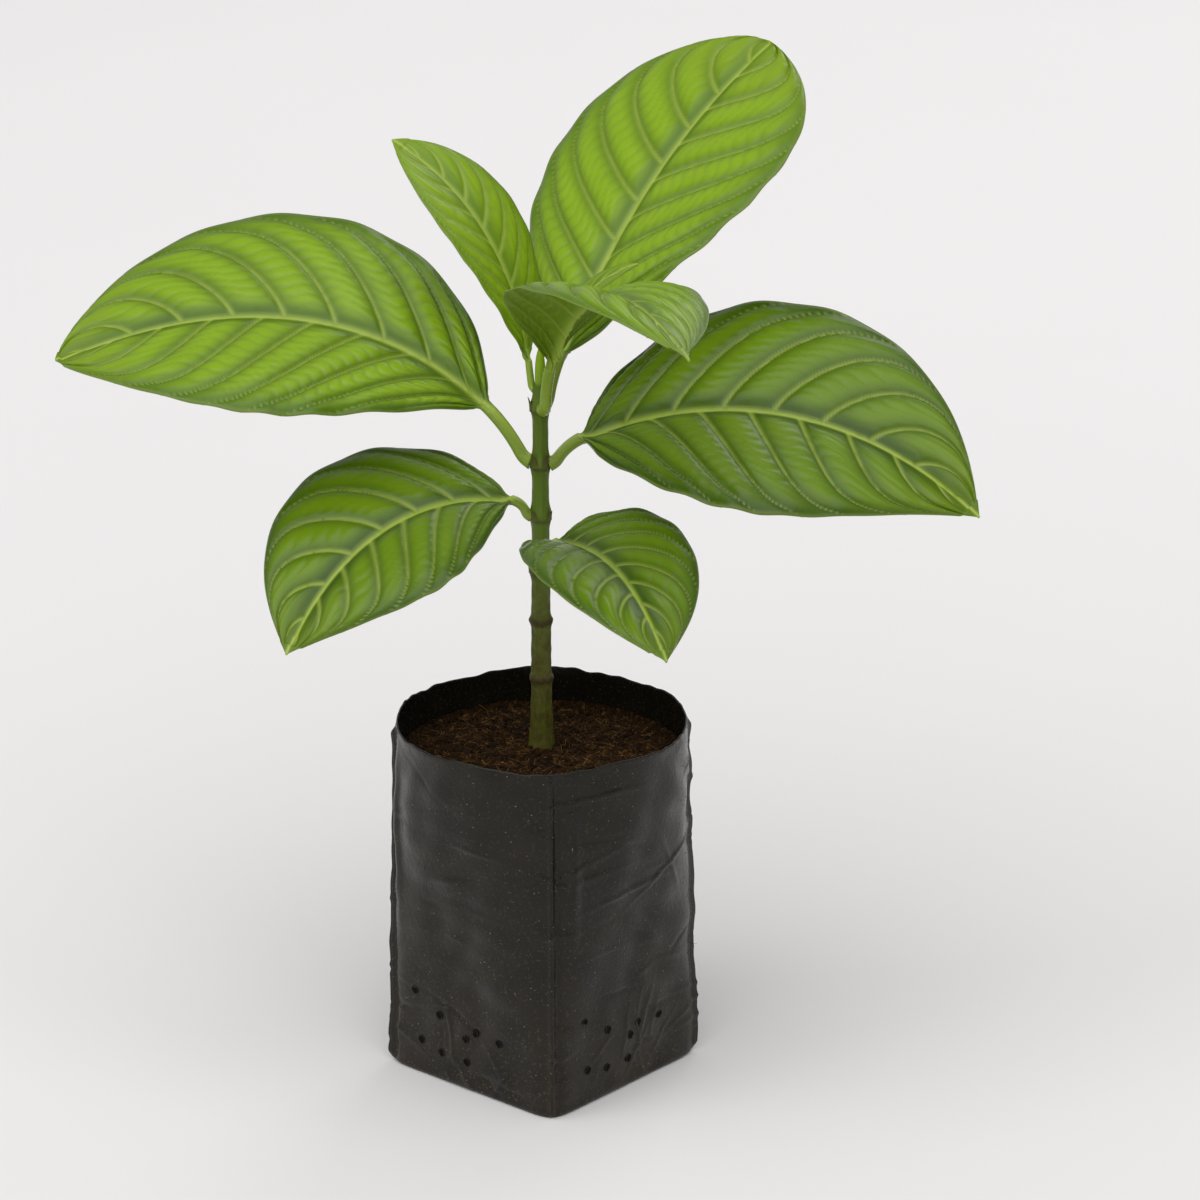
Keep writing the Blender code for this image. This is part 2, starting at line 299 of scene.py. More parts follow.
@dataclass(frozen=True)
class LeafPaint:
    """Quilted green with pale veins and a flat olive underside, with a painted highlight on the bulges
    between veins and painted shade in the troughs and cross-vein grooves.
    """

    # The first two greens are the painted shade of the troughs and the painted highlight of the bulges.
    shaded_green: tuple
    lit_green: tuple
    tip: tuple
    vein: tuple = (0.38, 0.50, 0.07)
    under: tuple = (0.13, 0.225, 0.003)
    rim: tuple = (0.20, 0.27, 0.05)
    under_shade: float = 0.8
    smoothest: float = 0.19
    gloss: float = 0.32

    def build(self, name: str) -> bpy.types.Material:
        """Make the leaf material from the marks crest, ripe, under, vein and rim.

        Args:
            name: name of the material.

        Returns:
            The material.
        """
        made = Surface(name)
        graph = made.graph
        mottle = made.speckle(90.0, 0.5, 0.25)
        pores = made.speckle(1600.0, 0.5, 0.2)
        # Painted highlight on the bulges between veins and painted shade in the troughs and cross-vein
        # grooves, with random mottle on top.
        painted_quilt_light = graph.math("MULTIPLY", graph.attribute("painted_quilt_light"), 0.85)
        lit = graph.math("ADD", painted_quilt_light, graph.math("MULTIPLY", mottle.outputs["Mask"], 0.15))
        green = graph.mix(lit, colour(self.shaded_green), colour(self.lit_green))
        green = graph.mix(graph.attribute("ripe"), green, colour(self.tip))
        shaded = colour(tuple(self.under_shade * part for part in self.under))
        patches = graph.math("MULTIPLY", mottle.outputs["Mask"], 0.4)
        back = graph.mix(patches, colour(self.under), shaded)
        green = graph.mix(graph.attribute("under"), green, back)
        green = graph.mix(graph.attribute("vein"), green, colour(self.vein))
        green = graph.mix(graph.math("MULTIPLY", graph.attribute("rim"), 0.6), green, colour(self.rim))
        dull = graph.math("MULTIPLY", graph.attribute("under"), 0.22)
        rough = graph.math("ADD", self.smoothest, dull)
        rough = graph.math("ADD", rough, graph.math("MULTIPLY", pores.outputs["Grain"], 0.12))
        made.finish(green, rough, pores.outputs["Grain"], 0.00012, self.gloss)
        return made.material


@dataclass(frozen=True)
class FilmPaint:
    """Black film with dried dust."""

    black: tuple = (0.008, 0.007, 0.005)
    dust: tuple = (0.075, 0.055, 0.032)
    smoothest: float = 0.22
    gloss: float = 0.24

    def build(self, name: str) -> bpy.types.Material:
        """Make the film material from the mark dusty.

        Args:
            name: name of the material.

        Returns:
            The material.
        """
        made = Surface(name)
        graph = made.graph
        cloud = made.speckle(45.0, 0.6, 0.2)
        specks = made.speckle(900.0, 0.28, 0.03)
        dimples = made.speckle(500.0, 0.5, 0.3)
        share = graph.math("MULTIPLY", cloud.outputs["Mask"], 0.20)
        share = graph.math("ADD", share, graph.math("MULTIPLY", specks.outputs["Mask"], 0.55))
        share = graph.math("MULTIPLY", share, graph.attribute("dusty"))
        base = graph.mix(share, colour(self.black), colour(self.dust))
        rough = graph.math("ADD", self.smoothest, graph.math("MULTIPLY", share, 0.5))
        made.finish(base, rough, dimples.outputs["Grain"], 0.0002, self.gloss)
        return made.material


@dataclass(frozen=True)
class EarthPaint:
    """Crumbs and fibres of the potting mix."""

    dark: tuple = (0.007, 0.003, 0.001)
    light: tuple = (0.050, 0.022, 0.006)
    scale: float = 260.0
    gloss: float = 0.12

    def build(self, name: str) -> bpy.types.Material:
        """Make the earth material.

        Args:
            name: name of the material.

        Returns:
            The material.
        """
        made = Surface(name)
        graph = made.graph
        patch = made.speckle(self.scale, 0.5, 0.15)
        grit = made.speckle(2200.0, 0.5, 0.2)
        base = graph.mix(patch.outputs["Mask"], colour(self.dark), colour(self.light))
        rough = graph.math("ADD", 0.75, graph.math("MULTIPLY", patch.outputs["Grain"], 0.2))
        made.finish(base, rough, grit.outputs["Grain"], 0.0004, self.gloss)
        return made.material


@dataclass(frozen=True)
class BarkPaint:
    """Green stem that turns to olive-brown bark at the foot."""

    green: tuple = (0.080, 0.140, 0.001)
    olive: tuple = (0.105, 0.110, 0.004)
    brown: tuple = (0.046, 0.024, 0.005)
    gloss: float = 0.4

    def build(self, name: str) -> bpy.types.Material:
        """Make the stem material from the marks age and scar.

        Args:
            name: name of the material.

        Returns:
            The material.
        """
        made = Surface(name)
        graph = made.graph
        patch = made.speckle(300.0, 0.5, 0.15)
        fine = made.speckle(1500.0, 0.5, 0.2)
        base = graph.mix(graph.attribute("age"), colour(self.green), colour(self.olive))
        brown_share = graph.math("MULTIPLY", patch.outputs["Mask"], 0.6)
        spots = graph.math("MULTIPLY", graph.attribute("age"), brown_share)
        base = graph.mix(spots, base, colour(self.brown))
        base = graph.mix(graph.attribute("scar"), base, colour(self.brown))
        rough = graph.math("ADD", 0.45, graph.math("MULTIPLY", patch.outputs["Mask"], 0.3))
        made.finish(base, rough, fine.outputs["Grain"], 0.0003, self.gloss)
        return made.material


# Meshes


def ring_quads(count: int, sides: int) -> np.ndarray:
    """Corner numbers of the quads between rings.

    Args:
        count: number of rings.
        sides: points in a ring.

    Returns:
        One row of four corners for each quad.
    """
    row = np.arange(count - 1)[:, None] * sides
    start = row + np.arange(sides)[None, :]
    beside = row + ((np.arange(sides) + 1) % sides)[None, :]
    return np.stack([start, beside, beside + sides, start + sides], axis=-1).reshape(-1, 4)


def show(name: str, mesh: bpy.types.Mesh) -> bpy.types.Object:
    """Put a mesh in the scene.

    Args:
        name: name of the object.
        mesh: its mesh.

    Returns:
        The new object.
    """
    made = bpy.data.objects.new(name, mesh)
    bpy.context.scene.collection.objects.link(made)
    return made


def loft(name: str, rings: np.ndarray, finish: bpy.types.Material, marks: dict) -> bpy.types.Object:
    """Skin closed rings into one closed smooth body.

    Args:
        name: name of the object.
        rings: array of rings, points and coordinates.
        finish: material of the body.
        marks: attribute values per point, by name.

    Returns:
        The new object.
    """
    count, sides, _ = rings.shape
    points = np.vstack([rings.reshape(-1, 3), rings[0].mean(0), rings[-1].mean(0)])
    faces = ring_quads(count, sides).tolist()
    last = (count - 1) * sides
    for side in range(sides):
        other = (side + 1) % sides
        faces.append([count * sides, other, side])
        faces.append([count * sides + 1, last + side, last + other])
    mesh = bpy.data.meshes.new(name)
    mesh.from_pydata(points.tolist(), [], faces)
    mesh.shade_smooth()
    mesh.materials.append(finish)
    for key, values in marks.items():
        flat = np.asarray(values, dtype=np.float32).reshape(-1)
        flat = np.concatenate([flat, [flat[0], flat[-1]]]).astype(np.float32)
        mesh.attributes.new(key, "FLOAT", "POINT").data.foreach_set("value", flat)
    return show(name, mesh)


def open_mesh(name: str, rings: list) -> bpy.types.Mesh:
    """Skin closed rings into an open surface, the ground of scattered grains.

    Args:
        name: name of the mesh.
        rings: arrays of points, one for each ring.

    Returns:
        The mesh.
    """
    stacked = np.stack(rings)
    count, sides, _ = stacked.shape
    mesh = bpy.data.meshes.new(name)
    mesh.from_pydata(stacked.reshape(-1, 3).tolist(), [], ring_quads(count, sides).tolist())
    return mesh


def declare(piece: bpy.types.Object, slot: Slot, *nodes: str) -> None:
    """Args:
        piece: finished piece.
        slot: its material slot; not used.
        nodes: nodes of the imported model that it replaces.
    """
    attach(piece, BODY)
    if nodes:
        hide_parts(*nodes)
    LOG.info("%s: %d faces", piece.name, len(piece.data.polygons))


# Scattered grains


class Grain(Enum):
    """Shapes that can be scattered."""

    CRUMB = "crumb"
    FIBRE = "fibre"


@dataclass(frozen=True)
class Scatter:
    """Small shapes strewn over a surface by Geometry Nodes."""

    name: str
    grain: Grain
    density: float
    seed: int
    low: tuple
    high: tuple
    turn_low: tuple = (0.0, 0.0, 0.0)
    turn_high: tuple = (6.28, 6.28, 6.28)
    turn_seed: int = 7
    fibre_sides: int = 4
    fibre_steps: int = 5
    fibre_bow: float = 14.0

    def shape(self, graph: Graph) -> bpy.types.NodeSocket:
        """Make one grain, 1 across; a fibre is also 1 long and bowed.

        Args:
            graph: the tree that is built.

        Returns:
            The output that holds the grain's mesh.
        """
        if self.grain is Grain.CRUMB:
            return graph.node("GeometryNodeMeshIcoSphere", {"Radius": 0.5}).outputs["Mesh"]
        rod = graph.node("GeometryNodeMeshCylinder", {
            "Vertices": self.fibre_sides, "Side Segments": self.fibre_steps, "Radius": 0.5, "Depth": 1.0})
        place = graph.node("GeometryNodeInputPosition").outputs[0]
        along = graph.node("ShaderNodeSeparateXYZ", {0: place}).outputs["Z"]
        bow = graph.math("MULTIPLY", graph.math("MULTIPLY", along, along), self.fibre_bow)
        offset = graph.node("ShaderNodeCombineXYZ", {"X": bow}).outputs[0]
        moved = graph.node("GeometryNodeSetPosition", {"Geometry": rod.outputs["Mesh"], "Offset": offset})
        return moved.outputs["Geometry"]

    def tree(self) -> bpy.types.NodeTree:
        """Build the node tree with its named inputs.

        Returns:
            The tree, which ends in Realize Instances and Set Material.
        """
        tree = bpy.data.node_groups.new(self.name, "GeometryNodeTree")
        face = tree.interface
        for key, kind in (("Geometry", "Geometry"), ("Density", "Float"), ("Seed", "Int"),
                          ("Low", "Vector"), ("High", "Vector"), ("Turn Low", "Vector"),
                          ("Turn High", "Vector"), ("Finish", "Material")):
            face.new_socket(key, in_out="INPUT", socket_type="NodeSocket" + kind)
        face.new_socket("Geometry", in_out="OUTPUT", socket_type="NodeSocketGeometry")
        graph = Graph(tree)
        given = graph.node("NodeGroupInput").outputs
        spread = graph.node("GeometryNodeDistributePointsOnFaces", {
            "Mesh": given["Geometry"], "Density": given["Density"], "Seed": given["Seed"]})
        size = graph.node("FunctionNodeRandomValue", {0: given["Low"], 1: given["High"]},
                          data_type="FLOAT_VECTOR")
        turn = graph.node("FunctionNodeRandomValue", {
            0: given["Turn Low"], 1: given["Turn High"], "Seed": self.turn_seed}, data_type="FLOAT_VECTOR")
        stand = graph.node("GeometryNodeInstanceOnPoints", {
            "Points": spread.outputs["Points"], "Instance": self.shape(graph),
            "Scale": size.outputs[0], "Rotation": turn.outputs[0]})
        whole = graph.node("GeometryNodeRealizeInstances", {0: stand.outputs["Instances"]})
        dressed = graph.node("GeometryNodeSetMaterial", {
            "Geometry": whole.outputs[0], "Material": given["Finish"]})
        graph.node("NodeGroupOutput", {0: dressed.outputs[0]})
        return tree

    def build(self, base: bpy.types.Mesh, finish: bpy.types.Material) -> bpy.types.Object:
        """Scatter over a base mesh.

        Args:
            base: open surface that the grains stand on.
            finish: material of the grains.

        Returns:
            A plain mesh object without the modifier.
        """
        tree = self.tree()
        carrier = show(self.name + "_base", base)
        modifier = carrier.modifiers.new("strew", "NODES")
        modifier.node_group = tree
        values = {"Density": self.density, "Seed": self.seed, "Low": self.low, "High": self.high,
                  "Turn Low": self.turn_low, "Turn High": self.turn_high, "Finish": finish}
        for item in tree.interface.items_tree:
            if item.in_out == "INPUT" and item.name in values:
                modifier[item.identifier] = values[item.name]
        seen = bpy.context.evaluated_depsgraph_get()
        mesh = bpy.data.meshes.new_from_object(carrier.evaluated_get(seen), depsgraph=seen)
        mesh.name = self.name
        bpy.data.objects.remove(carrier)
        return show(self.name, mesh)


# The bag


@dataclass(frozen=True)
class Bag:
    """Black film bag, square at the foot and round at the rim, in metres."""

    sides: int = 400
    levels: int = 150
    inner_levels: int = 40
    creases: int = 150
    seed: int = 11
    strength: float = 1.9
    calm_edge: float = 0.004
    sag: float = 0.00022
    low_band: tuple = (0.003, 0.03)
    high_band: tuple = (0.02, 0.115)
    crease_width: tuple = (0.0005, 0.0013)
    crease_rise: tuple = (0.00010, 0.00038)
    fold_rise: float = 0.0010
    fold_width: float = 0.0008
    valley_depth: float = 0.0006
    bulge_rise: float = 0.0009
    hole_sides: int = 20
    hole_profile: tuple = ((0.0017, -0.0010), (0.0015, 0.0003), (0.0013, 0.0003), (0.0012, 0.00012))
    hole_spots: tuple = ((45.0, 0.0106), (45.0, 0.0194), (51.0, 0.0225), (29.0, 0.0110),
                         (29.0, 0.0250), (17.0, 0.0130), (15.0, 0.0310), (66.0, 0.0220))

    def radius(self, turn: np.ndarray, height: np.ndarray) -> np.ndarray:
        """Radius of the smooth bag: a rounded square low down, a circle at the rim.

        Args:
            turn: turn from the middle of a face, in radians.
            height: height above the floor.

        Returns:
            The radius.
        """
        power = 2.0 + 10.0 * (1.0 - np.clip(height / BAG_HEIGHT, 0.0, 1.0)) ** 2.5
        across = np.abs(np.cos(turn)) ** power
        along = np.abs(np.sin(turn)) ** power
        corner = 2.0 * math.cos(math.radians(45.0)) ** power
        reach = BAG_CORNER_REACH + (BAG_RIM_RADIUS - BAG_CORNER_REACH) * height / BAG_HEIGHT
        return reach * (corner / (across + along)) ** (1.0 / power)

    def relief(self, turn: np.ndarray, height: np.ndarray) -> np.ndarray:
        """Creases, wrinkles and corner folds of the outside, none at the foot and the rim.

        Args:
            turn: turn from the middle of a face, in radians.
            height: height above the floor.

        Returns:
            How far the film stands out.
        """
        draw = np.random.default_rng(self.seed)
        around = turn / FULL_TURN * BAG_GIRTH
        free = smooth_step(height / self.calm_edge) * smooth_step((BAG_HEIGHT - height) / self.calm_edge)
        total = self.sag * Ripples(3, 0.05, 0.012, 20, 3).at(
            np.cos(turn) * BAG_RIM_RADIUS, np.sin(turn) * BAG_RIM_RADIUS, height * 1.8)
        for _ in range(self.creases):
            centre = draw.uniform(0.0, BAG_GIRTH)
            low = draw.random() < 0.45
            level = draw.uniform(*(self.low_band if low else self.high_band))
            lean = draw.normal(0.0, 0.35) + (draw.choice([0.0, 0.9, -0.9]) if low else 0.0)
            length = draw.uniform(0.004, 0.010 if low else 0.020)
            width = draw.uniform(*self.crease_width)
            rise = draw.uniform(*self.crease_rise) * draw.choice([1.0, 1.0, -1.0])
            gap = (around - centre + BAG_GIRTH / 2.0) % BAG_GIRTH - BAG_GIRTH / 2.0
            up = height - level
            lengthwise = gap * math.cos(lean) + up * math.sin(lean)
            sideways = up * math.cos(lean) - gap * math.sin(lean) + 3.0 * lengthwise**2
            total = total + rise * bell(lengthwise, length) * bell(sideways, width)
        for corner in range(4):
            centre = BAG_GIRTH * (corner + 0.5) / 4.0
            gap = (around - centre + BAG_GIRTH / 2.0) % BAG_GIRTH - BAG_GIRTH / 2.0
            fade = 1.0 - 0.35 * height / BAG_HEIGHT
            total = total + self.fold_rise * fade * bell(gap, self.fold_width)
            total = total - self.valley_depth * fade * bell(gap - 0.0021, 0.0011)
            total = total + self.bulge_rise * bell(gap - 0.0075, 0.0022) * bell(height - 0.088, 0.022)
        return self.strength * total * free

    def ring(self, height: float, inset: float) -> np.ndarray:
        """Make one ring of the film.

        Args:
            height: height above the floor.
            inset: distance in from the outside; far in, the ring is smooth.

        Returns:
            The ring's points.
        """
        turn = turns(self.sides)
        level = np.full(self.sides, height)
        radius = self.radius(turn, level) - inset
        if inset < 0.001:
            radius = radius + self.relief(turn, level)
        angle = turn + BAG_TURN - math.radians(45.0)
        risen = smooth_step((level - WAVE_START) / (BAG_HEIGHT - WAVE_START))
        wave = RIM_WAVE * np.sin(5.0 * angle) + RIM_RAG * Ripples(5, 0.03, 0.005, 12, 2).at(
            np.cos(angle) * BAG_RIM_RADIUS, np.sin(angle) * BAG_RIM_RADIUS)
        return np.stack([radius * np.cos(angle), radius * np.sin(angle), level + risen * wave], axis=-1)

    def build(self, film: bpy.types.Material, dust: bpy.types.Material, hole_shade: bpy.types.Material) -> None:
        """Build the bag, its dust and its drainage holes.

        Args:
            film: material of the film.
            dust: material of the dried specks and fibres.
            hole_shade: material inside a hole.
        """
        heights = np.linspace(FOOT_ROUND, BAG_HEIGHT - RIM_ROUND, self.levels)
        wall = [self.ring(float(height), 0.0) for height in heights]
        foot = self.ring(0.0, FOOT_ROUND)
        under = [foot * np.array([share, share, 1.0]) for share in (0.02, 0.5, 0.9)]
        rim = [self.ring(BAG_HEIGHT, inset) for inset in (0.0001, FILM - 0.0001)]
        heights = np.linspace(BAG_HEIGHT - RIM_ROUND, 0.0025, self.inner_levels)
        inner = [self.ring(float(height), FILM) for height in heights]
        base = inner[-1] * np.array([0.97, 0.97, 0.0]) + np.array([0.0, 0.0, 0.0010])
        floor = [base * np.array([share, share, 1.0]) for share in (1.0, 0.5, 0.02)]
        rings = np.stack([*under, foot, *wall, *rim, *inner, *floor])
        dusty = np.clip(0.35 + 0.65 * np.exp(-rings[..., 2] / 0.05), 0.0, 1.0)
        declare(loft("film_bag", rings, film, {"dusty": dusty}), Slot.FILM, "grow_bag")
        ground = open_mesh("wall_ground", wall)
        specks = Scatter("wall_specks", Grain.CRUMB, 26000.0, 4, (0.00018,) * 3, (0.00062,) * 3)
        declare(specks.build(ground, dust), Slot.SOIL)
        threads = Scatter("wall_threads", Grain.FIBRE, 2300.0, 6, (0.00008, 0.00008, 0.0008),
                          (0.00013, 0.00013, 0.0026))
        declare(threads.build(ground, dust), Slot.SOIL)
        self.holes(film, hole_shade)

    def holes(self, film: bpy.types.Material, hole_shade: bpy.types.Material) -> None:
        """Make the small punched holes low in each face, each with a near-black disk of painted shade in
        its middle.

        Args:
            film: material of a hole's edge.
            hole_shade: material of its dark middle.
        """
        step = turns(self.hole_sides)[:, None]
        quads = ring_quads(len(self.hole_profile), self.hole_sides)
        points = []
        faces = []
        dark = []
        for corner, place, height in [(corner, *spot) for corner in range(4) for spot in self.hole_spots]:
            turn = np.array([math.radians(45.0 + 90.0 * corner + place)])
            level = np.array([height])
            radius = float((self.radius(turn, level) + self.relief(turn, level))[0])
            angle = float(turn[0]) + BAG_TURN - math.radians(45.0)
            middle = np.array([radius * math.cos(angle), radius * math.sin(angle), height])
            quarter = math.floor((angle - BAG_TURN) / (math.pi / 2.0)) + 0.5
            facing = quarter * math.pi / 2.0 + BAG_TURN
            out = np.array([math.cos(facing), math.sin(facing), 0.0])
            side = np.array([-math.sin(facing), math.cos(facing), 0.0])
            start = len(points) * self.hole_sides
            for reach, push in self.hole_profile:
                points.append(middle + out * push + reach * (side * np.cos(step) + UP * np.sin(step)))
            last = (len(points) - 1) * self.hole_sides
            faces.extend((quads + start).tolist())
            # The near-black cap of each hole is painted shade of the bag's inside.
            dark.append(len(faces))
            faces.append([last + number for number in range(self.hole_sides)])
            faces.append([start + number for number in reversed(range(self.hole_sides))])
        mesh = bpy.data.meshes.new("drain_holes")
        mesh.from_pydata(np.concatenate(points).tolist(), [], faces)
        mesh.materials.append(film)
        mesh.materials.append(hole_shade)
        for index in dark:
            mesh.polygons[index].material_index = 1
        declare(show("drain_holes", mesh), Slot.FILM)


# The soil


@dataclass(frozen=True)
class Soil:
    """Fill of the bag with crumbs and fibres on top."""

    bag: Bag
    rings: int = 60

    def top(self) -> list:
        """Make the lumpy top.

        Returns:
            Rings from the film to the middle.
        """
        edge = self.bag.ring(SOIL_EDGE_HEIGHT, FILM + 0.0002)[::2]
        ripple = Ripples(21, 0.02, 0.003, 26, 2)
        made = []
        for share in np.linspace(1.0, 0.02, self.rings):
            x = edge[:, 0] * share
            y = edge[:, 1] * share
            radius = np.hypot(x, y)
            angle = np.arctan2(y, x)
            outward = smooth_step((radius - SOIL_SEAT_RADIUS) / (BAG_RIM_RADIUS - SOIL_SEAT_RADIUS))
            lump = np.sin(3.0 * angle + 0.6) + 0.7 * np.sin(5.0 * angle + 160.0 * radius)
            height = SOIL_SEAT_HEIGHT - (SOIL_SEAT_HEIGHT - SOIL_EDGE_HEIGHT) * outward
            height = height + SOIL_LUMP * lump * np.sin(math.pi * outward)
            height = height + SOIL_ROUGHNESS * ripple.at(x, y) * (1.0 - share**8)
            made.append(np.stack([x, y, height], axis=-1))
        return made

    def build(self, earth: bpy.types.Material, chip: bpy.types.Material, coir: bpy.types.Material) -> None:
        """Build the fill, the crumbs, the chips and the fibres.

        Args:
            earth: material of the fill and its crumbs.
            chip: material of the lighter chips.
            coir: material of the fibres.
        """
        top = self.top()
        wall = [self.bag.ring(float(level), FILM + 0.0012)[::2] for level in np.linspace(0.003, 0.109, 14)]
        foot = wall[0] * np.array([0.02, 0.02, 1.0])
        declare(loft("soil_fill", np.stack([foot, *wall, *top]), earth, {}), Slot.SOIL, "soil")
        crumbs = Scatter("soil_crumbs", Grain.CRUMB, 620000.0, 2, (0.0006,) * 3, (0.0021,) * 3)
        chips = Scatter("soil_chips", Grain.CRUMB, 110000.0, 5, (0.0004,) * 3, (0.0022, 0.0022, 0.0010))
        fibres = Scatter("soil_fibres", Grain.FIBRE, 120000.0, 9, (0.00012, 0.00012, 0.003),
                         (0.00024, 0.00024, 0.010), (1.2, -0.2, 0.0), (1.9, 0.2, 6.28))
        ground = open_mesh("soil_ground", top[2:])
        declare(crumbs.build(ground, earth), Slot.SOIL)
        declare(chips.build(ground, chip), Slot.SOIL)
        declare(fibres.build(open_mesh("fibre_ground", top[9:]), coir), Slot.SOIL)


# The stem


def stem_radius(height: np.ndarray) -> np.ndarray:
    """Radius of the stem with its root flare, scars and nodes.

    Args:
        height: height above the floor.

    Returns:
        The radius, in metres.
    """
    share = (height - SOIL_SEAT_HEIGHT) / (STEM_TIP - SOIL_SEAT_HEIGHT)
    flare, fade = ROOT_FLARE
    radius = STEM_RADIUS - STEM_TAPER * share + flare * np.exp(-(height - SOIL_SEAT_HEIGHT) / fade)
    for spots, (rise, width) in ((SCARS, SCAR_SWELLING), (NODES, NODE_SWELLING)):
        for spot in spots:
            radius = radius + rise * bell(height - spot, width)
    return radius


@dataclass(frozen=True)
class Stem:
    """Upright stem with ring scars, nodes, stipules and the end bud."""

    sides: int = 72
    levels: int = 420
    bud_sides: int = 32
    bud_levels: int = 60
    stipule_spots: tuple = ((0.2323, 195.0, 5.0), (0.2323, -35.0, 5.0), (0.2130, 230.0, 5.5),
                            (0.2130, -60.0, 5.5), (0.1950, -35.0, 3.5), (0.1950, 230.0, 4.0),
                            (0.1764, 200.0, 4.0), (0.1764, 20.0, 4.0))

    def build(self, bark: bpy.types.Material) -> None:
        """Build the stem and its stipules.

        Args:
            bark: material of both.
        """
        heights = np.linspace(STEM_FOOT, STEM_TOP, self.levels)[:, None]
        angle = turns(self.sides)[None, :]
        scar = np.zeros_like(heights)
        for place in SCARS:
            scar = np.maximum(scar, bell(heights - place, 0.0011))
        for place in NODES:
            scar = np.maximum(scar, 0.6 * bell(heights - place + 0.0016, 0.0007))
        low = 1.0 - smooth_step((heights - BARK_TOP) / BARK_FADE)
        radius = stem_radius(np.maximum(heights, SOIL_SEAT_HEIGHT))
        rough = Ripples(31, 0.010, 0.0012, 30, 3).at(
            np.cos(angle) * 0.006, np.sin(angle) * 0.006, heights * 0.35)
        ribs = np.sin(7.0 * angle + 25.0 * heights) + 0.6 * np.sin(11.0 * angle - 40.0 * heights)
        radius = radius + 0.00006 * ribs + rough * (0.00005 + 0.00012 * low)
        radius = radius + 0.0002 * scar * np.sin(9.0 * angle + 3.0 * np.sin(angle)) * (heights < 0.17)
        rings = np.stack([radius * np.cos(angle), radius * np.sin(angle), heights + 0.0 * angle], axis=-1)
        marks = {"age": np.clip(low + 0.12 * rough, 0.0, 1.0),
                 "scar": np.clip(scar + 0.0 * angle, 0.0, 0.85)}
        declare(loft("stem_bark", rings, bark, marks), Slot.STEM, "stem")
        self.stipules(bark)

    def bud(self, green: bpy.types.Material) -> None:
        """Build the pointed bud at the tip.

        Args:
            green: material of the bud.
        """
        share = np.linspace(0.0, 1.0, self.bud_levels)[:, None]
        angle = turns(self.bud_sides)[None, :]
        radius = BUD_RADIUS * (1.0 - share**2.2) ** 0.8 * (0.85 + 0.3 * share) + 0.0002
        radius = radius * (1.0 - 0.16 * bell(np.sin(angle), 0.22) * (1.0 - share))
        height = BUD_FOOT + BUD_LENGTH * share + 0.0 * angle
        rings = np.stack([radius * np.cos(angle) * 1.1, radius * np.sin(angle) * 0.85, height], axis=-1)
        blank = np.zeros((self.bud_levels, self.bud_sides))
        # The painted light of the leaf quilt is held even at half on the bud.
        marks = {"painted_quilt_light": blank + 0.5, "ripe": blank + share, "under": blank, "vein": blank, "rim": blank}
        declare(loft("bud_tip", rings, green, marks), Slot.YOUNG_LEAF, "terminal_bud")

    def stipules(self, bark: bpy.types.Material) -> None:
        """Build the small pointed scales at the nodes.

        Args:
            bark: material of the scales.
        """
        share = np.linspace(0.0, 1.0, 14)[:, None]
        turn = turns(16)[None, :]
        width = 0.0021 * (1.0 - share) ** 0.8 + 0.0001
        thick = 0.0005 * (1.0 - share) + 0.0001
        side = width * np.cos(turn)
        for number, (level, facing, length) in enumerate(self.stipule_spots, 1):
            out = float(stem_radius(np.array(level))) - 0.0003 + 0.0011 * share**1.6
            reach = out + thick * np.sin(turn) - 180.0 * side**2
            angle = math.radians(facing)
            x = reach * math.cos(angle) + side * math.sin(angle)
            y = reach * math.sin(angle) - side * math.cos(angle)
            z = level - 0.0012 + length * MILLIMETRE * share + 0.0 * turn
            rings = np.stack([x, y, z], axis=-1)[:, ::-1]
            marks = {"age": 0.3 + 0.0 * z, "scar": 0.3 + 0.55 * share + 0.0 * z}
            declare(loft(f"stipule_{number}", rings, bark, marks), Slot.STEM)


# The leaves


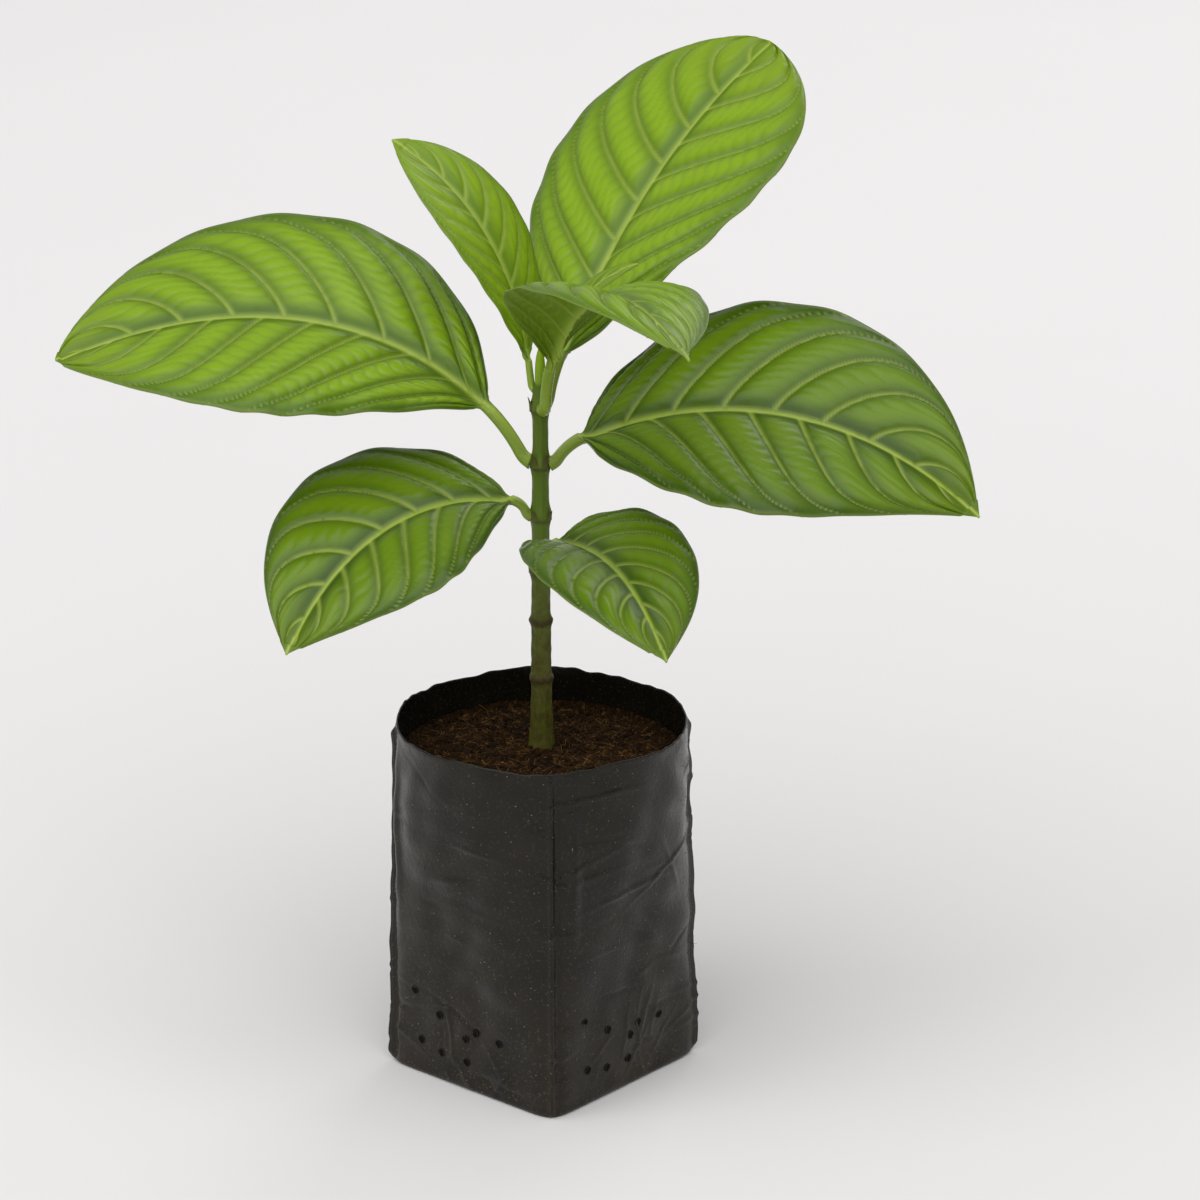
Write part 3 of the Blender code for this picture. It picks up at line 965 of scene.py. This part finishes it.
@dataclass(frozen=True)
class Leaf:
    """One leaf in millimetres and degrees, by the same rule as its solid."""

    name: str
    height: float
    azimuth: float
    bend: float
    petiole: tuple
    pitch: tuple
    roll: tuple
    fold: tuple
    arch: float
    blade: tuple
    outline: tuple
    paint: LeafPaint
    pairs: float
    slot: Slot = Slot.LEAF
    stalk_rows: int = 26
    blade_rows: int = 215
    blade_columns: int = 100
    foot_pitch: float = 20.0
    foot_share: float = 0.25
    blade_start: float = 0.06

    def half_share(self, along: np.ndarray) -> np.ndarray:
        """Half width of the blade, as a share of the widest.

        Args:
            along: places from 0 at the blade's foot to 1 at the tip.

        Returns:
            The share at each place.
        """
        peak, point = self.outline
        rise = peak * point
        fall = (1.0 - peak) * point
        return along**rise * (1.0 - along) ** fall / (peak**rise * (1.0 - peak) ** fall)

    def spine(self, along: np.ndarray) -> tuple:
        """Walk the rib.

        Args:
            along: places from -1 at the stem over 0 at the blade's foot to 1 at the tip.

        Returns:
            Arrays of the place, the sideways and the upward vectors.
        """
        foot, base, tip, middle = self.pitch
        travelled = along + 1.0
        on_blade = np.maximum(along, 0.0)
        risen = self.foot_pitch + (foot - self.foot_pitch) * smooth_step(travelled / self.foot_share)
        eased = np.maximum(travelled - self.foot_share, 0.0) / (1.0 - self.foot_share)
        stalk = risen + (base - foot) * eased
        blade = base + (tip - base) * along + middle * 4.0 * along * (1.0 - along)
        pitch = np.radians(np.where(along < 0.0, stalk, blade))
        azimuth = math.radians(self.azimuth)
        turn = azimuth + math.radians(self.bend) * on_blade
        level = np.stack([np.cos(turn), np.sin(turn), 0.0 * turn], axis=-1)
        heading = level * np.cos(pitch)[:, None] + UP * np.sin(pitch)[:, None]
        length = np.where(along[1:] <= 0.0, self.petiole[0], self.blade[0]) * MILLIMETRE
        steps = 0.5 * (heading[1:] + heading[:-1]) * (np.diff(along) * length)[:, None]
        height = self.height * MILLIMETRE
        start = float(stem_radius(np.array(height))) - 0.0004
        first = np.array([start * math.cos(azimuth), start * math.sin(azimuth), height])
        place = first + np.vstack([np.zeros(3), np.cumsum(steps, axis=0)])
        across = np.stack([np.sin(turn), -np.cos(turn), 0.0 * turn], axis=-1)
        normal = np.cross(across, heading)
        roll = np.radians(self.roll[0] + (self.roll[1] - self.roll[0]) * on_blade)
        roll = (roll * np.minimum(travelled, 1.0))[:, None]
        rolled = across * np.cos(roll) + normal * np.sin(roll)
        lifted = normal * np.cos(roll) - across * np.sin(roll)
        return place, rolled, lifted

    def veins(self, along: np.ndarray, share: np.ndarray, half: np.ndarray) -> tuple:
        """Lay out the veins.

        Args:
            along: places along the blade, 0 to 1, as a column.
            share: places across, -1 to 1, as a row.
            half: half width at each row, in metres.

        Returns:
            The vein lines, the swelling between them and the fine cross-veins, 0 to 1.
        """
        out = np.abs(share)
        reach = out * half
        sweep = 0.24 * out**1.2 + 0.10 * out**7
        phase = self.pairs * (along - sweep) + 0.22 * np.sign(share) + 0.35
        number = np.floor(phase)
        part = phase - number
        near = np.minimum(part, 1.0 - part)
        distance = near / self.pairs * self.blade[0] * 0.72 * MILLIMETRE
        line = bell(distance, VEIN_WIDTH * (1.15 - 0.65 * out)) * (phase > -0.3)
        line = line * smooth_step((1.0 - out) / 0.10 + 0.25) * smooth_step((1.0 - along) / 0.06)
        swell = (4.0 * part * (1.0 - part)) ** 0.55
        swell = swell * (1.0 - bell(reach, QUILT_START)) * (1.0 - out**9)
        waver = 0.0011 * np.sin(FULL_TURN * part + 2.3 * number)
        rung = (reach + waver + 0.0007 * number) / LADDER_STEP
        rung = np.abs(rung - np.round(rung)) * LADDER_STEP
        ladder = bell(rung, LADDER_WIDTH) * swell * smooth_step(reach / 0.003)
        return line, swell, ladder

    def build(self) -> None:
        """Build the stalk and the blade in one closed body and dress it."""
        detail = min(max(self.blade[0] / 140.0, 0.45), 1.0)
        even = np.linspace(0.0, 1.0, int(self.blade_rows * detail))
        blade = 0.7 * even + 0.15 * (1.0 - np.cos(math.pi * even))
        along = np.concatenate([np.linspace(-1.0, -0.002, self.stalk_rows), blade])
        on_blade = np.maximum(along, 0.0)[:, None]
        columns = int(self.blade_columns * detail) // 2 * 2 + 1
        share = np.linspace(-1.0, 1.0, columns)[None, :]
        out = np.abs(share)
        petiole = self.petiole[1] * MILLIMETRE
        smallest = petiole * (1.0 - along)[:, None] + 0.0003
        half = self.half_share(on_blade) * self.blade[1] * MILLIMETRE / 2.0
        half = np.maximum(half, np.minimum(smallest, petiole + 0.0004))
        line, swell, ladder = self.veins(on_blade, share, half)
        bold = self.blade[1] / WIDE_BLADE
        slimmer = 1.0 - RIB_SLIMMING * on_blade
        rib = bell(out * half, RIB_WIDTH * slimmer * min(bold + 0.3, 1.0) + 0.00025)
        wave = np.sin(FULL_TURN * (self.pairs * 0.8 * on_blade + 0.3 * np.sign(share)))
        relief = QUILT * bold * (swell - 0.55) * (half > QUILT_START)
        relief = relief - (VEIN_GROOVE * line + LADDER_GROOVE * ladder) * min(bold + 0.2, 1.0)
        fade = smooth_step(on_blade / 0.1) * (1.0 - on_blade)
        relief = relief + MARGIN_WAVE * bold * out**4 * wave * fade
        fold = np.radians(self.fold[0] + self.fold[1] * (on_blade - 0.5))
        channel = RIB_CHANNEL * rib * (on_blade < 0.93)
        top = half * (np.sin(fold) * out - self.arch * out * out) + relief - channel
        film = BLADE_FILM * (1.0 - 0.4 * out**6)
        under = top - film - RIB_RIDGE * slimmer * rib - VEIN_GROOVE * line * bold
        sideways = share * half * np.cos(fold)
        sideways = np.concatenate([sideways, sideways[:, ::-1]], axis=1)
        lift = np.concatenate([top, under[:, ::-1]], axis=1)
        count = 2 * columns
        angle = (math.pi * (1.0 - (np.arange(count) + 0.5) * 2.0 / count))[None, :]
        opened = smooth_step(2.0 * (along + 1.0))[:, None]
        groove = 1.0 - 0.22 * bell(angle - math.pi / 2.0, 0.55) * opened
        thick = petiole * (1.0 + 0.25 * np.exp(-((along + 1.0) / 0.12)))[:, None]
        flat = smooth_step(along / self.blade_start + 0.35)[:, None]
        round_side = thick * np.cos(angle)
        round_lift = thick * np.sin(angle) * groove
        sideways = (round_side + (sideways - round_side) * flat)[..., None]
        lift = (round_lift + (lift - round_lift) * flat)[..., None]
        place, rolled, lifted = self.spine(along)
        rings = place[:, None, :] + rolled[:, None, :] * sideways + lifted[:, None, :] * lift
        blank = np.zeros((len(along), columns))

        def both(values: np.ndarray, below: float = 1.0) -> np.ndarray:
            """Repeat a mark of the top on the underside, by a share."""
            whole = values + blank
            return np.concatenate([whole, whole[:, ::-1] * below], axis=1)

        vein = np.clip(np.maximum(0.9 * rib, 0.62 * line) + 0.16 * ladder, 0.0, 1.0)
        marks = {
            "vein": np.maximum(both(vein, 0.75), 0.45 * (1.0 - flat)),
            # Painted light: a highlight on the bulges between veins, painted shade in the troughs and
            # cross-vein grooves.
            "painted_quilt_light": both(np.clip(0.05 + 1.05 * swell**1.9 - 0.40 * ladder, 0.0, 1.0)),
            "ripe": both(smooth_step((on_blade - 0.72) / 0.35) * 0.7),
            "under": np.concatenate([blank, blank + 1.0], axis=1) * flat,
            "rim": both(smooth_step((out - 0.965) / 0.03)) * flat,
        }
        green = self.paint.build(self.name + "_green")
        declare(loft(self.name + "_blade", rings, green, marks), self.slot, self.name)


DEEP = LeafPaint((0.022, 0.062, 0.001), (0.140, 0.250, 0.003), (0.150, 0.240, 0.004))
MID = LeafPaint((0.042, 0.104, 0.001), (0.235, 0.395, 0.006), (0.170, 0.270, 0.005))
BRIGHT = LeafPaint((0.062, 0.138, 0.001), (0.245, 0.410, 0.006), (0.190, 0.300, 0.006))
YOUNG = LeafPaint((0.110, 0.205, 0.002), (0.235, 0.390, 0.004), (0.220, 0.350, 0.008))

LEAVES = (
    Leaf("leaf_low_right", 176.4, -67, -4, (17.5, 1.7), (88, 20, -35, 5), (-17, 13), (12, -46), 0.12,
         (102.5, 55.5), (0.44, 1.81), DEEP, 8.0),
    Leaf("leaf_low_left", 195.0, 189, 43, (9, 1.7), (68, 14, -53, -8), (16, 14), (10, 2), 0.12,
         (99, 78.5), (0.43, 1.88), DEEP, 7.5),
    Leaf("leaf_big_left", 213.0, 159, 29, (22.5, 2.1), (59, 42, -23, -7), (39, 17), (10, -3), 0.12,
         (154.5, 95), (0.54, 1.83), MID, 9.0),
    Leaf("leaf_big_right", 213.0, -5, -16, (14, 2.1), (57, 27, -42, 0), (-18, -40), (11, -1), 0.12,
         (142, 97.5), (0.41, 1.83), DEEP, 8.5),
    Leaf("leaf_front", 232.3, -73, 8, (20, 1.9), (78, 55, -23, 2), (-14, 28), (18, -38), 0.25,
         (135, 64.5), (0.50, 2.48), BRIGHT, 9.0),
    Leaf("leaf_top", 232.3, 60, -27, (17, 1.9), (68, 47, 31, 3), (13, -7), (9, -10), 0.12,
         (135, 97), (0.61, 1.45), BRIGHT, 8.5),
    Leaf("leaf_young_left", 238.0, 145, 12, (10.5, 1.2), (81, 84, 23, 0), (-16, 27), (11, 0), 0.12,
         (88.5, 38.5), (0.48, 1.71), YOUNG, 8.5, Slot.YOUNG_LEAF),
    Leaf("leaf_young_right", 238.0, -13, 12, (5.5, 0.9), (77, 86, 15, 5), (-11, -10), (12, -8), 0.12,
         (51.5, 16), (0.48, 1.55), YOUNG, 8.0, Slot.YOUNG_LEAF),
)


# The studio


@dataclass(frozen=True)
class Studio:
    """Pale floor, soft light and the camera, in metres."""

    elevation: float = 20.0
    distance: float = 1.8
    target: tuple = (0.0195, 0.0, 0.1652)
    lens: float = 163.2
    sensor: float = 36.0
    floor_reach: float = 9.0
    floor_grey: tuple = (0.83, 0.82, 0.82)
    floor_pale: tuple = (0.85, 0.84, 0.84)
    air: tuple = (1.0, 0.99, 0.985)
    air_strength: float = 0.38
    sun_strength: float = 1.95
    sun_width: float = 80.0
    sun_spot: tuple = (-0.15, -1.25, 2.2)
    plant_middle: tuple = (0.0, 0.0, 0.16)
    box_size: float = 0.9
    boxes: tuple = (("box_left", (-1.5, -0.6, 1.1), 4.0), ("box_back", (0.7, 1.5, 1.6), 5.0))

    def build(self) -> None:
        """Set the floor, the lights and the camera."""
        surface = Surface("floor_white")
        grain = surface.speckle(3.0, 0.5, 0.4)
        base = surface.graph.mix(grain.outputs["Mask"], colour(self.floor_grey), colour(self.floor_pale))
        surface.finish(base, 0.7, grain.outputs["Grain"], 0.00001, 0.2)
        reach = self.floor_reach
        spots = [(x * reach, y * reach, 0.0) for x, y in ((-1, -1), (1, -1), (1, 1), (-1, 1))]
        mesh = bpy.data.meshes.new("floor")
        mesh.from_pydata(spots, [], [(0, 1, 2, 3)])
        mesh.materials.append(surface.material)
        show("floor", mesh)
        self.lights()
        self.camera()

    def lights(self) -> None:
        """Set a wide soft sun, one softbox at the left, one behind and a pale world."""
        world = bpy.data.worlds.new("studio")
        world.use_nodes = True
        backdrop = world.node_tree.nodes["Background"].inputs
        backdrop["Color"].default_value = colour(self.air)
        backdrop["Strength"].default_value = self.air_strength
        bpy.context.scene.world = world
        sun = bpy.data.lights.new("soft_sun", "SUN")
        sun.energy = self.sun_strength
        sun.angle = math.radians(self.sun_width)
        self.place(sun, self.sun_spot)
        for name, spot, power in self.boxes:
            box = bpy.data.lights.new(name, "AREA")
            box.energy = power
            box.size = self.box_size
            self.place(box, spot)

    def place(self, light: bpy.types.Light, spot: tuple) -> None:
        """Put a light somewhere and turn it to the plant.

        Args:
            light: the light.
            spot: where it stands.
        """
        made = bpy.data.objects.new(light.name, light)
        bpy.context.scene.collection.objects.link(made)
        away = np.array(spot) - np.array(self.plant_middle)
        made.location = spot
        tilt = math.atan2(math.hypot(away[0], away[1]), away[2])
        made.rotation_euler = (tilt, 0.0, math.atan2(away[1], away[0]) + math.pi / 2.0)

    def camera(self) -> None:
        """Set the camera of the photograph."""
        lens = bpy.data.cameras.new("view")
        lens.lens = self.lens
        lens.sensor_width = self.sensor
        made = bpy.data.objects.new("view", lens)
        bpy.context.scene.collection.objects.link(made)
        rise = math.radians(self.elevation)
        right = (1.0, 0.0, 0.0)
        up = (0.0, math.sin(rise), math.cos(rise))
        back = (0.0, -math.cos(rise), math.sin(rise))
        spot = [self.target[axis] + self.distance * back[axis] for axis in range(3)]
        rows = [(right[axis], up[axis], back[axis], spot[axis]) for axis in range(3)]
        made.matrix_world = Matrix((*rows, (0.0, 0.0, 0.0, 1.0)))
        bpy.context.scene.camera = made
        bpy.context.scene.view_settings.view_transform = "Standard"


def main() -> None:
    """Build and dress every part in order."""
    logging.basicConfig(level=logging.INFO, format="%(name)s %(message)s")
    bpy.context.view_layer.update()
    earth = EarthPaint().build("earth")
    chips = EarthPaint((0.03, 0.013, 0.004), (0.15, 0.070, 0.020)).build("earth_chips")
    coir = EarthPaint((0.08, 0.034, 0.009), (0.28, 0.150, 0.05)).build("coir")
    dust = EarthPaint((0.11, 0.075, 0.045), (0.26, 0.19, 0.12)).build("wall_dust")
    # Near-black painted shade for the middle of the drain holes.
    hole_shade = EarthPaint((0.002, 0.002, 0.001), (0.006, 0.004, 0.002)).build("hole_painted_shade")
    bag = Bag()
    bag.build(FilmPaint().build("film"), dust, hole_shade)
    Soil(bag).build(earth, chips, coir)
    stem = Stem()
    stem.build(BarkPaint().build("bark"))
    stem.bud(YOUNG.build("bud_green"))
    for leaf in LEAVES:
        leaf.build()
    Studio().build()


if __name__ == "__main__":
    main()
